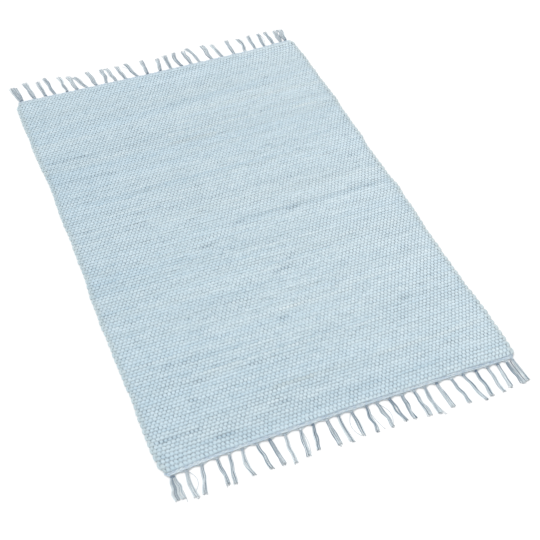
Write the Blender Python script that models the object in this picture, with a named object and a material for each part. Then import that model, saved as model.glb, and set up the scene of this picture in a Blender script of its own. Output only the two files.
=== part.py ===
"""Handwoven cotton rug, 60 by 90 cm, lying flat on its underside.

A woven field of soft rag weft, a fine heading at each end, and the warp ends tied in bunches along
each heading and left as tassels that lie level on the floor. Metres, +Z up. The origin is the middle
of the cloth's underside. The near end is at -Y, the far end at +Y.
"""

import math
import random
from collections import namedtuple

import bmesh
import bpy

MM = 0.001

# The cloth
CLOTH_WIDTH = 600 * MM
CLOTH_LENGTH = 899 * MM  # between the outer edges of the two headings
HEADING_DEPTH = 7 * MM
GAP = 0.3 * MM  # left between the field and each heading
FIELD_LENGTH = CLOTH_LENGTH - 2 * (HEADING_DEPTH + GAP)

# The field's picks, one rib for each pass of the weft
PICKS = 150
RIB_PEAK = 5.4 * MM
RIB_VALLEY = 4.5 * MM
RIB_UNEVEN = 0.25 * MM  # how much the beaten picks differ in height
LINE_UNEVEN = 0.35 * MM  # how far a pick strays along the length
LOOP_OUT = 0.7 * MM  # a weft loop round the outermost warp
LOOP_IN = 1.0 * MM  # the dip where the weft makes no turn
SELVEDGE_ROUND = 1.6 * MM  # how far the shoulder lies inside the edge
SELVEDGE_HEIGHT = 0.78  # shoulder height as a share of the rib's

# The underside's plain middle, which the cloth rests on. It is off centre, so no seam crosses the origin
PANEL_LEFT = -270 * MM
PANEL_RIGHT = 255 * MM
PANEL_NEAR = -415 * MM
PANEL_FAR = 405 * MM

# The two long edges, from the near end to the far end: place along the length, then how far the left
# and the right edge lie outside (+) or inside (-) the straight line. All in millimetres
Edge = namedtuple("Edge", "along left right")
LONG_EDGES = [
    Edge(-449.5, -8.0, -7.5),
    Edge(-442.5, -4.5, -2.0),
    Edge(-432.0, -1.5, 0.8),
    Edge(-410.0, 0.8, 2.0),
    Edge(-360.0, 1.0, 2.5),
    Edge(-300.0, 0.0, 1.0),
    Edge(-210.0, 0.8, -1.0),
    Edge(-150.0, 2.5, -0.5),
    Edge(-90.0, 2.0, 2.5),
    Edge(-60.0, 0.5, 1.0),
    Edge(-30.0, -0.5, 3.8),
    Edge(0.0, -1.0, 1.0),
    Edge(45.0, -1.8, -1.5),
    Edge(120.0, 0.0, 1.5),
    Edge(180.0, -2.5, 0.5),
    Edge(240.0, 0.5, 3.0),
    Edge(270.0, 2.5, 1.5),
    Edge(330.0, 2.0, 0.0),
    Edge(390.0, 3.0, 0.0),
    Edge(428.0, 3.0, -3.0),
    Edge(442.5, 0.0, -5.5),
    Edge(449.5, -3.0, -8.5),
]

# How far the two ends are drawn out by their corner tassels. Across runs from -1 at the left edge to
# +1 at the right, and the pulls are in millimetres
Pull = namedtuple("Pull", "across near far")
END_PULLS = [
    Pull(-1.0, 7.5, 3.0),
    Pull(-0.9, 5.6, 2.3),
    Pull(-0.7, 1.6, 1.2),
    Pull(0.0, 0.0, 0.0),
    Pull(0.7, 2.0, 2.2),
    Pull(0.9, 4.2, 6.3),
    Pull(1.0, 4.5, 8.0),
]
PULL_REACH = 45 * MM  # how far into the field a pull is felt

# A heading's section: depth from its inner edge and height, with a rib for each pair of fine picks
Ridge = namedtuple("Ridge", "depth height")
HEADING_SECTION = [
    Ridge(0.0, 3.4),
    Ridge(1.8, 4.0),
    Ridge(3.4, 3.4),
    Ridge(5.2, 3.9),
    Ridge(7.0, 2.6),
]

# A knot: how far out its middle and its front lie from the heading's edge
KNOT_MIDDLE = 2.4 * MM
KNOT_FRONT = 4.8 * MM
KNOT_HEIGHT = 4.4 * MM
KNOT_FRONT_HEIGHT = 2.6 * MM
KNOT_SHOULDER = 0.66  # height at the sides as a share of the middle's
KNOT_BULGE = 1.15  # width at the middle as a share of its root

# Strands of a tassel, three-sided, flat on the floor
STRAND_WIDTH = 1.35 * MM
STRAND_HEIGHT = 1.45 * MM
STRAND_APART = 0.35 * MM  # least space between neighbours
STRAND_UNEVEN = 2.2 * MM  # how much the cut ends differ in length
TIP_SHARE = 0.6  # size at the cut end as a share of the size along the strand
STRAIGHT_STEPS = 3
BOWED_STEPS = 4
BOWED_FROM = 2.0  # millimetres of bow past which a strand gets the finer steps
ROOT_HALF = {5: 2.5 * MM, 8: 4.3 * MM}  # half a knot's width, by its number of strands

# Tassels of each end, from the left edge: where the knot is and where the tip lies (from the left edge),
# how far the tip reaches past the straight end line, sideways bow to the right, width of the tip, and the
# number of strands. Lengths are in millimetres
Tassel = namedtuple("Tassel", "root tip reach bow spread strands")
NEAR_TASSELS = [
    Tassel(16.0, 14.0, 48.5, 0.0, 18.0, 8),
    Tassel(38.0, 38.5, 54.5, -2.5, 8.0, 5),
    Tassel(62.0, 51.5, 52.5, 0.0, 8.0, 5),
    Tassel(86.5, 88.5, 50.5, 0.0, 7.6, 5),
    Tassel(106.0, 97.5, 53.5, 0.0, 7.6, 5),
    Tassel(127.0, 128.0, 49.5, -3.5, 7.8, 5),
    Tassel(150.5, 156.0, 49.5, 0.0, 8.0, 5),
    Tassel(171.0, 175.5, 50.5, 0.0, 7.6, 5),
    Tassel(196.0, 193.5, 54.5, -1.5, 7.8, 5),
    Tassel(221.0, 215.0, 49.5, 0.0, 8.2, 5),
    Tassel(242.0, 233.5, 45.5, 0.0, 7.8, 5),
    Tassel(265.0, 266.5, 50.5, 0.0, 7.6, 5),
    Tassel(284.5, 286.0, 51.5, -1.5, 8.0, 5),
    Tassel(306.5, 306.0, 47.5, 1.0, 7.8, 5),
    Tassel(332.0, 329.5, 49.5, 0.0, 8.4, 5),
    Tassel(349.5, 355.0, 50.5, 1.0, 7.8, 5),
    Tassel(371.0, 377.0, 48.5, 0.0, 7.8, 5),
    Tassel(393.0, 392.5, 49.5, 0.0, 7.8, 5),
    Tassel(414.0, 417.5, 52.5, 0.0, 8.0, 5),
    Tassel(433.0, 433.5, 55.0, -1.5, 9.0, 5),
    Tassel(454.0, 457.5, 51.5, 0.0, 8.2, 5),
    Tassel(480.0, 487.0, 53.5, 0.0, 8.0, 5),
    Tassel(501.0, 512.5, 58.5, 0.0, 8.0, 5),
    Tassel(524.0, 526.0, 55.5, 0.0, 7.8, 5),
    Tassel(545.0, 547.0, 55.5, 0.0, 7.8, 5),
    Tassel(563.0, 561.0, 52.5, 0.0, 7.4, 5),
    Tassel(579.5, 582.0, 52.5, 0.0, 7.4, 5),
    Tassel(589.0, 592.0, 50.5, 0.0, 7.4, 5),
]
FAR_TASSELS = [
    Tassel(11.0, 4.0, 53.5, 0.0, 16.0, 8),
    Tassel(37.5, 30.0, 60.5, 0.0, 10.0, 5),
    Tassel(60.0, 55.0, 55.5, 0.0, 8.0, 5),
    Tassel(78.5, 71.0, 62.5, 0.0, 8.0, 5),
    Tassel(104.0, 99.5, 57.5, 0.0, 8.2, 5),
    Tassel(124.5, 117.0, 52.5, 0.0, 7.8, 5),
    Tassel(144.0, 128.5, 45.5, 0.0, 7.8, 5),
    Tassel(164.5, 158.5, 52.5, 0.0, 9.0, 5),
    Tassel(185.5, 187.0, 51.5, 1.5, 7.8, 5),
    Tassel(205.5, 197.5, 50.5, 0.0, 7.8, 5),
    Tassel(226.0, 219.0, 49.5, 0.0, 8.4, 5),
    Tassel(250.5, 239.0, 52.5, 0.0, 8.0, 5),
    Tassel(272.5, 273.0, 51.5, 0.0, 7.8, 5),
    Tassel(300.0, 306.5, 45.5, 0.0, 8.0, 5),
    Tassel(323.0, 324.5, 50.5, 0.0, 9.5, 5),
    Tassel(347.0, 344.5, 52.5, -4.0, 7.8, 5),
    Tassel(368.0, 364.0, 51.5, 0.0, 7.8, 5),
    Tassel(386.0, 375.0, 57.5, 2.5, 7.8, 5),
    Tassel(413.5, 410.0, 56.5, 0.0, 9.0, 5),
    Tassel(436.5, 429.0, 52.5, 0.0, 7.8, 5),
    Tassel(463.5, 463.5, 54.5, 0.0, 7.8, 5),
    Tassel(488.5, 490.0, 51.5, 2.5, 8.2, 5),
    Tassel(512.5, 513.5, 54.5, 0.0, 7.8, 5),
    Tassel(533.5, 537.0, 53.5, 0.0, 8.0, 5),
    Tassel(555.5, 554.0, 54.5, 0.0, 7.8, 5),
    Tassel(572.5, 572.5, 52.5, 0.0, 7.4, 5),
    Tassel(584.0, 586.0, 51.5, 0.0, 7.4, 5),
]

# Finishes
FIELD_BLUE = (0.53, 0.66, 0.74, 1.0)
HEADING_BLUE = (0.46, 0.57, 0.70, 1.0)
COTTON_ROUGHNESS = 0.95


def between(value, keys, values):
    """The value on straight lines through the points (keys, values), held at both ends."""
    if value <= keys[0]:
        return values[0]
    for low, high, start, end in zip(keys, keys[1:], values, values[1:]):
        if value <= high:
            return start + (end - start) * (value - low) / (high - low)
    return values[-1]


def long_edges(along):
    """x of the left and of the right edge at a place along the straight cloth."""
    keys = [row.along * MM for row in LONG_EDGES]
    left = between(along, keys, [row.left * MM for row in LONG_EDGES])
    right = between(along, keys, [row.right * MM for row in LONG_EDGES])
    return -CLOTH_WIDTH / 2 - left, CLOTH_WIDTH / 2 + right


def end_pull(across, end):
    """How far out an end is drawn at a place across it. End is -1 for near and +1 for far."""
    pulls = [row.near if end < 0 else row.far for row in END_PULLS]
    return end * MM * between(across, [row.across for row in END_PULLS], pulls)


def on_cloth(across, along):
    """x and y of a place on the cloth: straight cloth, then its wavy edges and its drawn-out ends."""
    left, right = long_edges(along)
    x = left + (right - left) * (across + 1) / 2
    from_end = FIELD_LENGTH / 2 - abs(along)
    felt = 1 - min(max(from_end / PULL_REACH, 0), 1)
    end = -1 if along < 0 else 1
    return x, along + felt * felt * end_pull(across, end)


def finish(name, bm, colour):
    """Makes the mesh an object with its own cotton material."""
    mesh = bpy.data.meshes.new(name)
    bm.normal_update()
    bm.to_mesh(mesh)
    bm.free()
    material = bpy.data.materials.new(name)
    material.use_nodes = True
    shader = material.node_tree.nodes["Principled BSDF"]
    shader.inputs["Base Color"].default_value = colour
    shader.inputs["Roughness"].default_value = COTTON_ROUGHNESS
    shader.inputs["Metallic"].default_value = 0.0
    mesh.materials.append(material)
    piece = bpy.data.objects.new(name, mesh)
    bpy.context.collection.objects.link(piece)
    return piece


def field_row(row, uneven):
    """One line across the field, as (x, y, z) from the left foot over the top to the right foot.

    Even rows are the valleys between picks and odd rows the tops of the ribs. The weft turns at the
    right edge after the first pick, at the left edge after the second, and so on, so the two edges
    have their loops at every other valley, in turn.
    """
    along = -FIELD_LENGTH / 2 + row * FIELD_LENGTH / (2 * PICKS)
    on_rib = row % 2 == 1
    at_end = row in (0, 2 * PICKS)
    height = RIB_PEAK if on_rib else RIB_VALLEY
    loop = {0: (-LOOP_IN, LOOP_OUT), 2: (LOOP_OUT, -LOOP_IN)}.get((row - 2) % 4, (0, 0))
    if at_end:
        loop = (0, 0)
    stray = 0 if at_end else uneven.uniform(-LINE_UNEVEN, LINE_UNEVEN)
    shoulder = 1 - 2 * SELVEDGE_ROUND / CLOTH_WIDTH
    top = []
    for station in [-shoulder] + [pull.across for pull in END_PULLS[1:-1]] + [shoulder]:
        x, y = on_cloth(station, along)
        z = height + uneven.uniform(-RIB_UNEVEN, RIB_UNEVEN)
        top.append([x, y + stray, z])
    feet = []
    for side, station in ((0, -1), (1, 1)):
        x, y = on_cloth(station, along)
        out = loop[side] * station
        feet.append((x + out, y + stray, 0))
        shoulder_point = top[0] if side == 0 else top[-1]
        shoulder_point[0] += out
        shoulder_point[2] *= SELVEDGE_HEIGHT
    return [feet[0]] + top + [feet[1]]


def woven_field():
    """The cloth between the headings: one flat solid, ribbed on top by its picks."""
    uneven = random.Random(11)
    bm = bmesh.new()
    rows = [[bm.verts.new(p) for p in field_row(row, uneven)] for row in range(2 * PICKS + 1)]
    for near, far in zip(rows, rows[1:]):
        for i in range(len(near) - 1):
            bm.faces.new((near[i], near[i + 1], far[i + 1], far[i]))
    corners = [
        bm.verts.new((x, y, 0))
        for x, y in (
            (PANEL_LEFT, PANEL_NEAR),
            (PANEL_RIGHT, PANEL_NEAR),
            (PANEL_RIGHT, PANEL_FAR),
            (PANEL_LEFT, PANEL_FAR),
        )
    ]
    near_left, near_right, far_right, far_left = corners
    near_sole = end_wall(bm, rows[0], turned=False)
    far_sole = end_wall(bm, rows[-1], turned=True)
    bm.faces.new(corners[::-1])
    bm.faces.new([row[0] for row in rows] + [far_left, near_left])
    bm.faces.new([row[-1] for row in rows[::-1]] + [near_right, far_right])
    bm.faces.new(near_sole[::-1] + [near_left, near_right])
    bm.faces.new(far_sole + [far_right, far_left])
    return finish("woven_field", bm, FIELD_BLUE)


def end_wall(bm, row, turned):
    """Closes one end of the field down to the floor, and returns the wall's line along the floor."""
    sole = [row[0]] + [bm.verts.new((v.co.x, v.co.y, 0)) for v in row[2:-2]] + [row[-1]]
    top = row[1:-1]
    faces = [(sole[0], sole[1], top[1], top[0])]
    for i in range(1, len(sole) - 2):
        faces.append((sole[i], sole[i + 1], top[i + 1], top[i]))
    faces.append((sole[-2], sole[-1], top[-1], top[-2]))
    for face in faces:
        bm.faces.new(face[::-1] if turned else face)
    return sole


def strand(bm, start, tassel, lane, end, from_y, cut):
    """One strand: a three-sided tail drawn out of its root triangle, level on the floor.

    The path runs from the knot to the tip, bowed sideways by half a sine wave, and the strands of a
    tassel fan out from the knot's width to the tip's.
    """
    steps = BOWED_STEPS if abs(tassel.bow) >= BOWED_FROM else STRAIGHT_STEPS
    root_x, tip_x = (x * MM - CLOTH_WIDTH / 2 for x in (tassel.root, tassel.tip))
    tip_y = end * (CLOTH_LENGTH / 2 + tassel.reach * MM + cut)
    half = ROOT_HALF[tassel.strands]
    ring = start
    for step in range(1, steps + 1):
        t = step / steps
        opened = 1 - (1 - t) ** 2
        lanes = (2 * half + (tassel.spread * MM - 2 * half) * opened) / tassel.strands
        x = root_x + (tip_x - root_x) * t + tassel.bow * MM * math.sin(math.pi * t) + lane * lanes
        y = from_y + (tip_y - from_y) * t
        size = TIP_SHARE if step == steps else 1
        width = min(STRAND_WIDTH, lanes - STRAND_APART) * size
        corners = ((x - width / 2, y, 0), (x + width / 2, y, 0), (x, y, STRAND_HEIGHT * size))
        new = [bm.verts.new(p) for p in corners]
        for a, b in ((0, 1), (1, 2), (2, 0)):
            face = (ring[b], ring[a], new[a], new[b])
            bm.faces.new(face if end > 0 else face[::-1])
        ring = new
    bm.faces.new(ring if end < 0 else ring[::-1])


def knot_and_tassel(bm, outer, tassel, end, uneven):
    """A knot on the heading's outer edge and its strands.

    Outer holds the two bottom and two top points of the heading's edge at the knot: left foot, left
    top, right top, right foot. The knot swells to its middle, then narrows to a flat front, and each
    strand leaves the front from its own triangle on the floor.
    """
    x = tassel.root * MM - CLOTH_WIDTH / 2
    half = ROOT_HALF[tassel.strands]
    edge_y = (outer[0].co.y + outer[-1].co.y) / 2

    def section(out, width, height):
        y = edge_y + end * out
        side = height * KNOT_SHOULDER
        points = ((-width, 0), (-width, side), (0, height), (width, side), (width, 0))
        return [bm.verts.new((x + dx, y, z)) for dx, z in points]

    def face(points):
        bm.faces.new(points if end > 0 else points[::-1])

    middle = section(KNOT_MIDDLE, half * KNOT_BULGE, KNOT_HEIGHT)
    front = section(KNOT_FRONT, half, KNOT_FRONT_HEIGHT)
    face((outer[0], outer[1], middle[1], middle[0]))
    face((outer[1], middle[2], middle[1]))
    face((outer[1], outer[2], middle[2]))
    face((outer[2], middle[3], middle[2]))
    face((outer[2], outer[3], middle[4], middle[3]))
    for i in range(4):
        face((middle[i], middle[i + 1], front[i + 1], front[i]))
    lanes = 2 * half / tassel.strands
    width = lanes - STRAND_APART
    front_y = front[0].co.y
    roots = []
    for lane in range(tassel.strands):
        mid = x + (lane - (tassel.strands - 1) / 2) * lanes
        corners = ((mid - width / 2, 0), (mid + width / 2, 0), (mid, STRAND_HEIGHT))
        roots.append([bm.verts.new((px, front_y, pz)) for px, pz in corners])
    wall = [front[0]]
    for left, right, top in roots:
        wall += [left, top, right]
    wall += front[:0:-1]
    face(wall[::-1])
    sole = [outer[3], middle[4], front[4]]
    for left, right, top in roots[::-1]:
        sole += [right, left]
    sole += [front[0], middle[0], outer[0]]
    face(sole[::-1])
    for lane, root in enumerate(roots):
        cut = uneven.uniform(-STRAND_UNEVEN, STRAND_UNEVEN)
        strand(bm, root, tassel, lane - (tassel.strands - 1) / 2, end, front_y, cut)


def fringed_heading(name, tassels, end):
    """A heading's fine picks as a narrow ribbed strip, with every knot and tassel fused to its edge."""
    uneven = random.Random(23 if end < 0 else 29)
    left, right = long_edges(end * CLOTH_LENGTH / 2)

    def station(x):
        return 2 * (x - left) / (right - left) - 1

    stations = [-1.0]
    knots = {}
    for i, tassel in enumerate(tassels):
        x = tassel.root * MM - CLOTH_WIDTH / 2
        half = ROOT_HALF[tassel.strands]
        if i:
            before = tassels[i - 1].root * MM - CLOTH_WIDTH / 2
            stations.append(station((x + before) / 2))
        knots[len(stations)] = tassel
        stations += [station(x - half), station(x + half)]
    stations.append(1.0)

    bm = bmesh.new()
    inner = FIELD_LENGTH / 2 + GAP
    columns = []
    for across in stations:
        column = []
        for depth, height in [(0, 0)] + HEADING_SECTION + [(HEADING_DEPTH / MM, 0)]:
            x, y = on_cloth(across, end * (inner + depth * MM))
            column.append(bm.verts.new((x, y, height * MM)))
        columns.append(column)

    def face(points):
        bm.faces.new(points if end > 0 else points[::-1])

    for i, (here, there) in enumerate(zip(columns, columns[1:])):
        rows = len(here)
        open_front = rows - 2 if i in knots else None
        for row in range(rows):
            following = (row + 1) % rows
            if row != open_front:
                face((here[row], there[row], there[following], here[following]))
        if i in knots:
            outer = [here[-1], here[-2], there[-2], there[-1]]
            knot_and_tassel(bm, outer, knots[i], end, uneven)
    for column, turned in ((columns[0], False), (columns[-1], True)):
        face(column[::-1] if turned else column)
    return finish(name, bm, HEADING_BLUE)


def main():
    for old in list(bpy.data.objects):
        bpy.data.objects.remove(old, do_unlink=True)
    woven_field()
    fringed_heading("near_heading_fringe", NEAR_TASSELS, -1)
    fringed_heading("far_heading_fringe", FAR_TASSELS, 1)


main()
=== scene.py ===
import math
from collections import namedtuple

import bpy
import numpy as np
from mathutils import Matrix, Vector


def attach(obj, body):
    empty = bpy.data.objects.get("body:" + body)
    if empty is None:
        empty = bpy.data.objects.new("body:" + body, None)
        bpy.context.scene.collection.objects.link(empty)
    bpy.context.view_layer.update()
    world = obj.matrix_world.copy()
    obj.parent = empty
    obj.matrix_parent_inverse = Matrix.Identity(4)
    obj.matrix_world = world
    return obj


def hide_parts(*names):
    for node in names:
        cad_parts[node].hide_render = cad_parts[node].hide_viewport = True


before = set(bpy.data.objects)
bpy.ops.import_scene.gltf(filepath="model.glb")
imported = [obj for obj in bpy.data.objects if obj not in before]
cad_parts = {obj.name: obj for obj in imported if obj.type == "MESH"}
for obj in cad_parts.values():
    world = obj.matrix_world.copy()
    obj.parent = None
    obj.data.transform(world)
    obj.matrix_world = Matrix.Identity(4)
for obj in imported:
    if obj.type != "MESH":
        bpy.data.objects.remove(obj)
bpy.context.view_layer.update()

# A handwoven cotton rug on a pale floor. A rag strip runs over and under the warp and turns round the
# outermost thread at both edges. At each end the warp passes through a fine heading, is knotted in
# bunches and lies on the floor as tassels. Metres, with the near end at -Y and the far end at +Y.

MM = 0.001

# The cloth, as in the part
CLOTH_WIDTH = 600 * MM
CLOTH_LENGTH = 899 * MM
HEADING_DEPTH = 7 * MM
GAP = 0.3 * MM
FIELD_LENGTH = CLOTH_LENGTH - 2 * (HEADING_DEPTH + GAP)
PICKS = 150
PICK_PITCH = FIELD_LENGTH / PICKS
PULL_REACH = 45 * MM
KNOT_MIDDLE = 2.4 * MM

# The two long edges: place along the length, then how far the left and the right edge lie outside (+)
# or inside (-) the straight line. All in millimetres
Edge = namedtuple("Edge", "along left right")
LONG_EDGES = [
    Edge(-449.5, -8.0, -7.5),
    Edge(-442.5, -4.5, -2.0),
    Edge(-432.0, -1.5, 0.8),
    Edge(-410.0, 0.8, 2.0),
    Edge(-360.0, 1.0, 2.5),
    Edge(-300.0, 0.0, 1.0),
    Edge(-210.0, 0.8, -1.0),
    Edge(-150.0, 2.5, -0.5),
    Edge(-90.0, 2.0, 2.5),
    Edge(-60.0, 0.5, 1.0),
    Edge(-30.0, -0.5, 3.8),
    Edge(0.0, -1.0, 1.0),
    Edge(45.0, -1.8, -1.5),
    Edge(120.0, 0.0, 1.5),
    Edge(180.0, -2.5, 0.5),
    Edge(240.0, 0.5, 3.0),
    Edge(270.0, 2.5, 1.5),
    Edge(330.0, 2.0, 0.0),
    Edge(390.0, 3.0, 0.0),
    Edge(428.0, 3.0, -3.0),
    Edge(442.5, 0.0, -5.5),
    Edge(449.5, -3.0, -8.5),
]

# How far the two ends are drawn out by their corner tassels. Across runs from -1 at the left edge to
# +1 at the right, and the pulls are in millimetres
Pull = namedtuple("Pull", "across near far")
END_PULLS = [
    Pull(-1.0, 7.5, 3.0),
    Pull(-0.9, 5.6, 2.3),
    Pull(-0.7, 1.6, 1.2),
    Pull(0.0, 0.0, 0.0),
    Pull(0.7, 2.0, 2.2),
    Pull(0.9, 4.2, 6.3),
    Pull(1.0, 4.5, 8.0),
]

# Tassels of each end, in order from the left: how far the knot and the tip lie from the left edge, how
# far the tip reaches past the straight end line, sideways bow to the right, width of the tip, and the
# number of threads. Lengths are in millimetres
Tassel = namedtuple("Tassel", "root tip reach bow spread threads")
NEAR_TASSELS = [
    Tassel(16.0, 14.0, 48.5, 0.0, 18.0, 17),
    Tassel(38.0, 38.5, 54.5, -2.5, 8.0, 8),
    Tassel(62.0, 51.5, 52.5, 0.0, 8.0, 9),
    Tassel(86.5, 88.5, 50.5, 0.0, 7.6, 9),
    Tassel(106.0, 97.5, 53.5, 0.0, 7.6, 9),
    Tassel(127.0, 128.0, 49.5, -3.5, 7.8, 9),
    Tassel(150.5, 156.0, 49.5, 0.0, 8.0, 9),
    Tassel(171.0, 175.5, 50.5, 0.0, 7.6, 8),
    Tassel(196.0, 193.5, 54.5, -1.5, 7.8, 9),
    Tassel(221.0, 215.0, 49.5, 0.0, 8.2, 9),
    Tassel(242.0, 233.5, 45.5, 0.0, 7.8, 9),
    Tassel(265.0, 266.5, 50.5, 0.0, 7.6, 8),
    Tassel(284.5, 286.0, 51.5, -1.5, 8.0, 9),
    Tassel(306.5, 306.0, 47.5, 1.0, 7.8, 8),
    Tassel(332.0, 329.5, 49.5, 0.0, 8.4, 9),
    Tassel(349.5, 355.0, 50.5, 1.0, 7.8, 9),
    Tassel(371.0, 377.0, 48.5, 0.0, 7.8, 8),
    Tassel(393.0, 392.5, 49.5, 0.0, 7.8, 9),
    Tassel(414.0, 417.5, 52.5, 0.0, 8.0, 9),
    Tassel(433.0, 433.5, 55.0, -1.5, 9.0, 9),
    Tassel(454.0, 457.5, 51.5, 0.0, 8.2, 10),
    Tassel(480.0, 487.0, 53.5, 0.0, 8.0, 9),
    Tassel(501.0, 512.5, 58.5, 0.0, 8.0, 9),
    Tassel(524.0, 526.0, 55.5, 0.0, 7.8, 9),
    Tassel(545.0, 547.0, 55.5, 0.0, 7.8, 9),
    Tassel(563.0, 561.0, 52.5, 0.0, 7.4, 8),
    Tassel(579.5, 583.5, 52.5, 0.0, 9.0, 8),
    Tassel(590.5, 593.0, 51.5, 0.0, 9.2, 9),
]
FAR_TASSELS = [
    Tassel(11.0, 4.0, 53.5, 0.0, 16.0, 15),
    Tassel(37.5, 30.0, 60.5, 0.0, 10.0, 10),
    Tassel(60.0, 55.0, 55.5, 0.0, 8.0, 9),
    Tassel(78.5, 71.0, 62.5, 0.0, 8.0, 9),
    Tassel(104.0, 99.5, 57.5, 0.0, 8.2, 9),
    Tassel(124.5, 117.0, 52.5, 0.0, 7.8, 8),
    Tassel(144.0, 128.5, 45.5, 0.0, 7.8, 8),
    Tassel(164.5, 158.5, 52.5, 0.0, 9.0, 9),
    Tassel(185.5, 187.0, 51.5, 1.5, 7.8, 9),
    Tassel(205.5, 197.5, 50.5, 0.0, 7.8, 8),
    Tassel(226.0, 219.0, 49.5, 0.0, 8.4, 9),
    Tassel(250.5, 239.0, 52.5, 0.0, 8.0, 9),
    Tassel(272.5, 273.0, 51.5, 0.0, 7.8, 8),
    Tassel(300.0, 306.5, 45.5, 0.0, 8.0, 9),
    Tassel(323.0, 324.5, 50.5, 0.0, 9.5, 9),
    Tassel(347.0, 344.5, 52.5, -4.0, 7.8, 9),
    Tassel(368.0, 364.0, 51.5, 0.0, 7.8, 8),
    Tassel(386.0, 375.0, 57.5, 2.5, 7.8, 9),
    Tassel(413.5, 410.0, 56.5, 0.0, 9.0, 9),
    Tassel(436.5, 429.0, 52.5, 0.0, 7.8, 8),
    Tassel(463.5, 463.5, 54.5, 0.0, 7.8, 9),
    Tassel(488.5, 490.0, 51.5, 2.5, 8.2, 9),
    Tassel(512.5, 513.5, 54.5, 0.0, 7.8, 9),
    Tassel(533.5, 537.0, 53.5, 0.0, 8.0, 9),
    Tassel(555.5, 554.0, 54.5, 0.0, 7.8, 9),
    Tassel(572.5, 574.5, 52.5, 0.0, 10.4, 10),
    Tassel(584.0, 587.5, 51.5, 0.0, 11.4, 11),
]

# Threads that have strayed from their tassel: the knot, where the thread bulges most and where it ends,
# each from the left edge and past the end line, in millimetres, and how dark it is
Stray = namedtuple("Stray", "end root bulge bulge_out tip tip_out dark", defaults=(0,))
STRAYS = [
    Stray(-1, 39.0, 47.0, 19.0, 42.5, 40.0),
    Stray(-1, 221.0, 223.5, 15.0, 220.0, 44.0),
    Stray(-1, 306.0, 296.5, 34.0, 302.0, 45.0),
    Stray(-1, 332.0, 336.0, 30.0, 341.0, 47.0),
    Stray(-1, 350.0, 358.0, 13.0, 357.5, 43.0),
    Stray(-1, 433.5, 436.0, 38.0, 441.5, 57.0),
    Stray(-1, 433.5, 435.5, 38.0, 439.5, 58.0),
    Stray(-1, 17.0, 22.5, 30.0, 23.5, 53.0),
    Stray(-1, 88.0, 86.0, 38.0, 84.5, 53.0),
    Stray(-1, 585.5, 586.4, 25.0, 588.0, 50.0, 0.9),
    Stray(-1, 586.1, 587.0, 25.0, 588.8, 51.0, 0.7),
    Stray(1, 164.5, 158.0, 30.0, 153.5, 50.0),
    Stray(1, 164.5, 158.5, 30.0, 155.0, 51.0),
    Stray(1, 250.0, 238.5, 35.0, 231.0, 44.0),
    Stray(1, 323.0, 322.5, 30.0, 318.0, 49.0),
    Stray(1, 413.5, 412.5, 34.0, 416.0, 53.0),
    Stray(1, 489.0, 493.0, 30.0, 497.5, 44.0),
    Stray(1, 534.0, 541.0, 22.0, 541.0, 48.0),
]

# The warp
WARPS = 175
OUTER_WARP = 297.2 * MM  # from the middle of the cloth to the last thread at either edge
WARP_PITCH = 2 * OUTER_WARP / (WARPS - 1)
WARP_HALF = 0.6 * MM
WARP_RISE = 1.1 * MM  # above and below the mid plane where it crosses the rag strip
WARP_RISE_IN_HEADING = 0.7 * MM
WARP_SIDES = 3
WARP_BEND = 0.2  # how much of its way sideways to the knot a thread has gone at the end line
WARP_LIGHT = 0.6
WARP_LIGHT_VARIES = 0.1
WARP_LIGHT_OUTSIDE = 0.75  # in the headings and the knots
WARP_PAINTED_SHADE_SHARE = 0.6  # share of the rag's painted slot shade that the warp gets

# A weft's sections, as points sideways and up from the cloth's mid plane, in millimetres: over a warp
# thread, under one, between two, and in the turn at the edge
Weft = namedtuple("Weft", "mid over under between turn lean reach pitch")
RAG = Weft(
    mid=2.75 * MM,
    over=[(4.0, 1.95), (0, 2.35), (-4.0, 1.95), (-1.6, 0.6), (0, 0.3), (1.6, 0.6)],
    under=[(2.4, 0.75), (0, 1.25), (-2.4, 0.75), (-2.3, -0.9), (0, -1.7), (2.3, -0.9)],
    between=[(3.1, 1.95), (0, 2.0), (-3.1, 1.95), (-2.1, 0), (0, -0.9), (2.1, 0)],
    turn=[(2.5, 1.1), (0, 1.9), (-2.5, 1.1), (-2.5, -1.1), (0, -1.9), (2.5, -1.1)],
    lean=0.7 * MM,
    reach=1.1 * MM,
    pitch=PICK_PITCH,
)
YARN_PICKS = 5
YARN = Weft(
    mid=2.25 * MM,
    over=[(0.95, 1.3), (0, 1.55), (-0.95, 1.3), (0, 0.1)],
    under=[(0.8, 0.1), (0, 0.5), (-0.8, 0.1), (0, -1.7)],
    between=[(0.9, 1.0), (0, 1.3), (-0.9, 1.0), (0, -0.8)],
    turn=[(0.6, 0), (0, 0.8), (-0.6, 0), (0, -0.8)],
    lean=0.1 * MM,
    reach=1.4 * MM,
    pitch=HEADING_DEPTH / YARN_PICKS,
)
TURN_ANGLES = np.radians([-54, -18, 18, 54])
SOLE = 0.05 * MM  # the lowest that a thread of the cloth hangs
Band = namedtuple("Band", "name first last")
BANDS = [
    Band("rag_weft_near", 0, 38),
    Band("rag_weft_mid_near", 38, 75),
    Band("rag_weft_mid_far", 75, 112),
    Band("rag_weft_far", 112, 150),
]

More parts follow.
